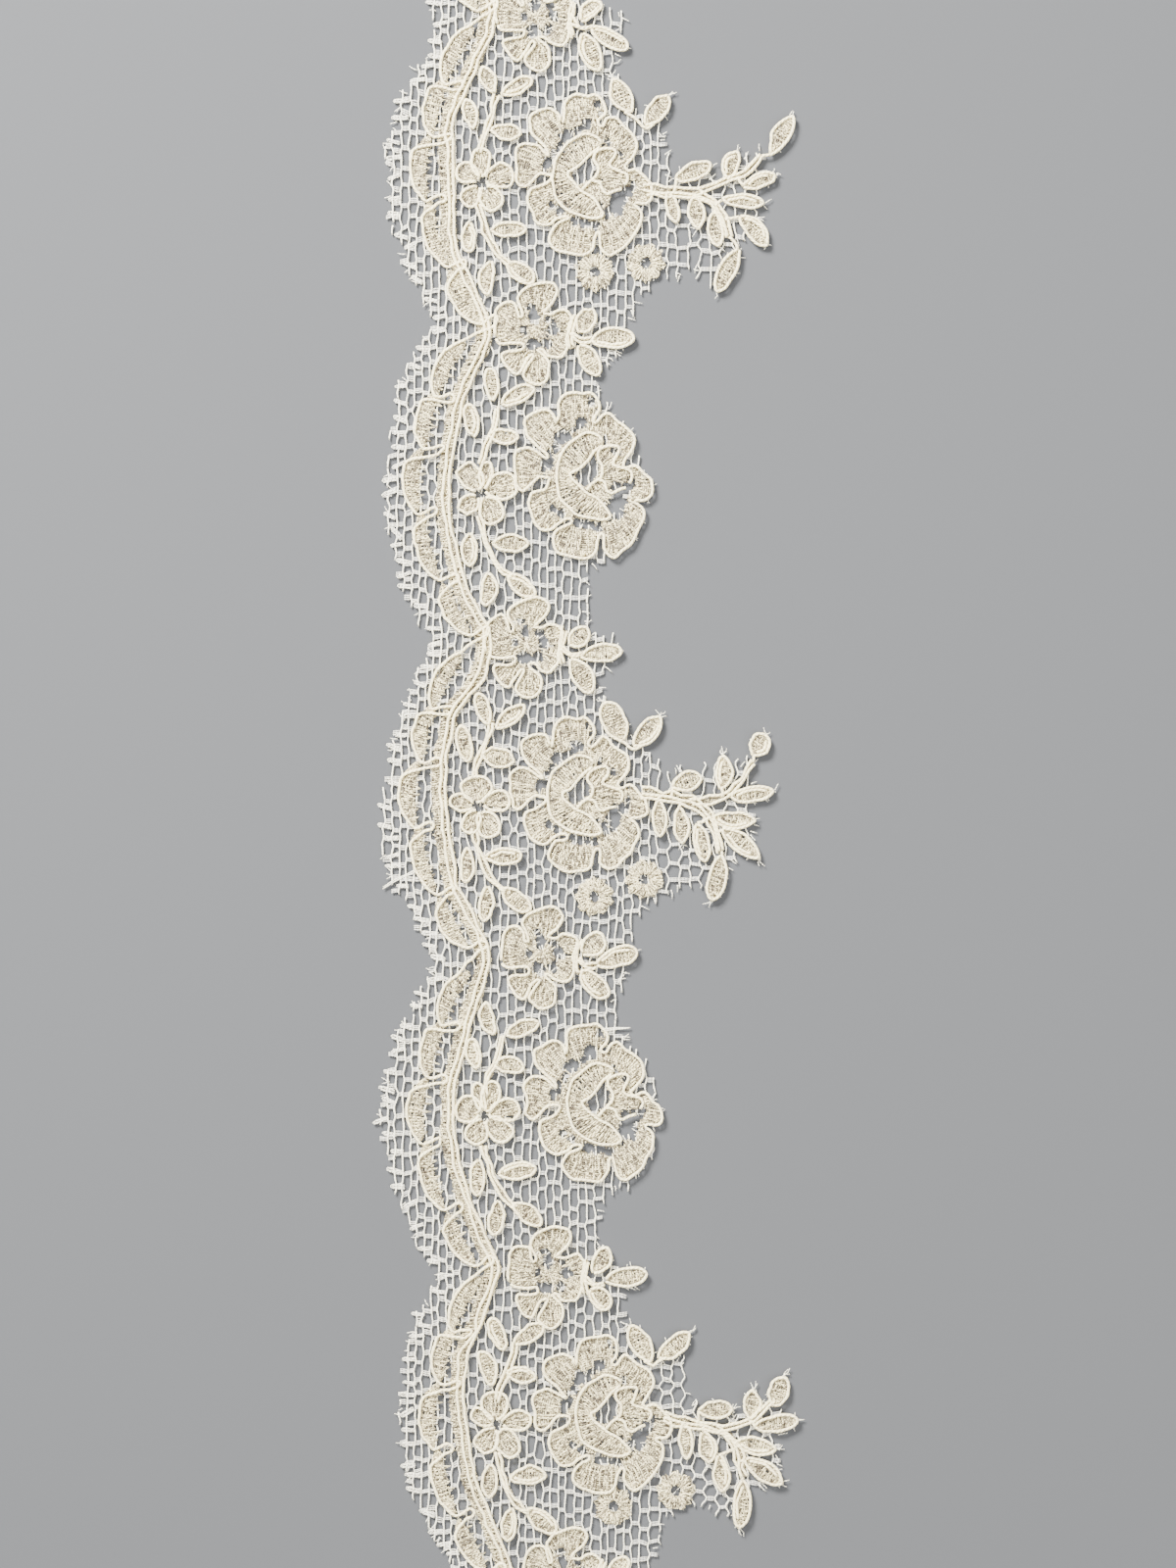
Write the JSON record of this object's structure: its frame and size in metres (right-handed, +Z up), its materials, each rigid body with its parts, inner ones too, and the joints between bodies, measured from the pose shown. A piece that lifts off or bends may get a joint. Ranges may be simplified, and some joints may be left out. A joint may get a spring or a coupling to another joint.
{
  "type": "lace edging",
  "caption": "flat length of scalloped corded lace edging with a net ground, cloth-work roses, small flowers, leaves and sprigs, outlined by sewn-on cord",
  "frame": {"origin": "middle of the underside of the box round the length", "axes": "+Y along the length, +X from the scalloped border to the sprigs, +Z up from the worked face"},
  "size_m": [0.1002, 0.4015, 0.0021],
  "materials": {
    "lace_ground": "cotton net and cloth-work, matte",
    "outline_cord": "soft round cord, slight sheen"
  },
  "bodies": {
    "root": {"lace_ground": "lace_ground", "border_cord": "outline_cord", "band_cord_outer": "outline_cord", "band_cord_inner": "outline_cord", "rose_cord_1": "outline_cord", "rose_cord_2": "outline_cord", "rose_cord_3": "outline_cord", "rose_cord_4": "outline_cord", "rose_cord_5": "outline_cord", "spray_cord_1": "outline_cord", "spray_cord_2": "outline_cord", "spray_cord_3": "outline_cord", "spray_cord_4": "outline_cord", "spray_cord_5": "outline_cord", "valley_cord_0": "outline_cord", "valley_cord_1": "outline_cord", "valley_cord_2": "outline_cord", "valley_cord_3": "outline_cord", "valley_cord_4": "outline_cord", "valley_cord_5": "outline_cord", "sprig_cord_1": "outline_cord", "sprig_cord_3": "outline_cord", "sprig_cord_5": "outline_cord", "bud_cord_1": "outline_cord", "bud_cord_3": "outline_cord", "bud_cord_5": "outline_cord"}
  },
  "joints": []
}
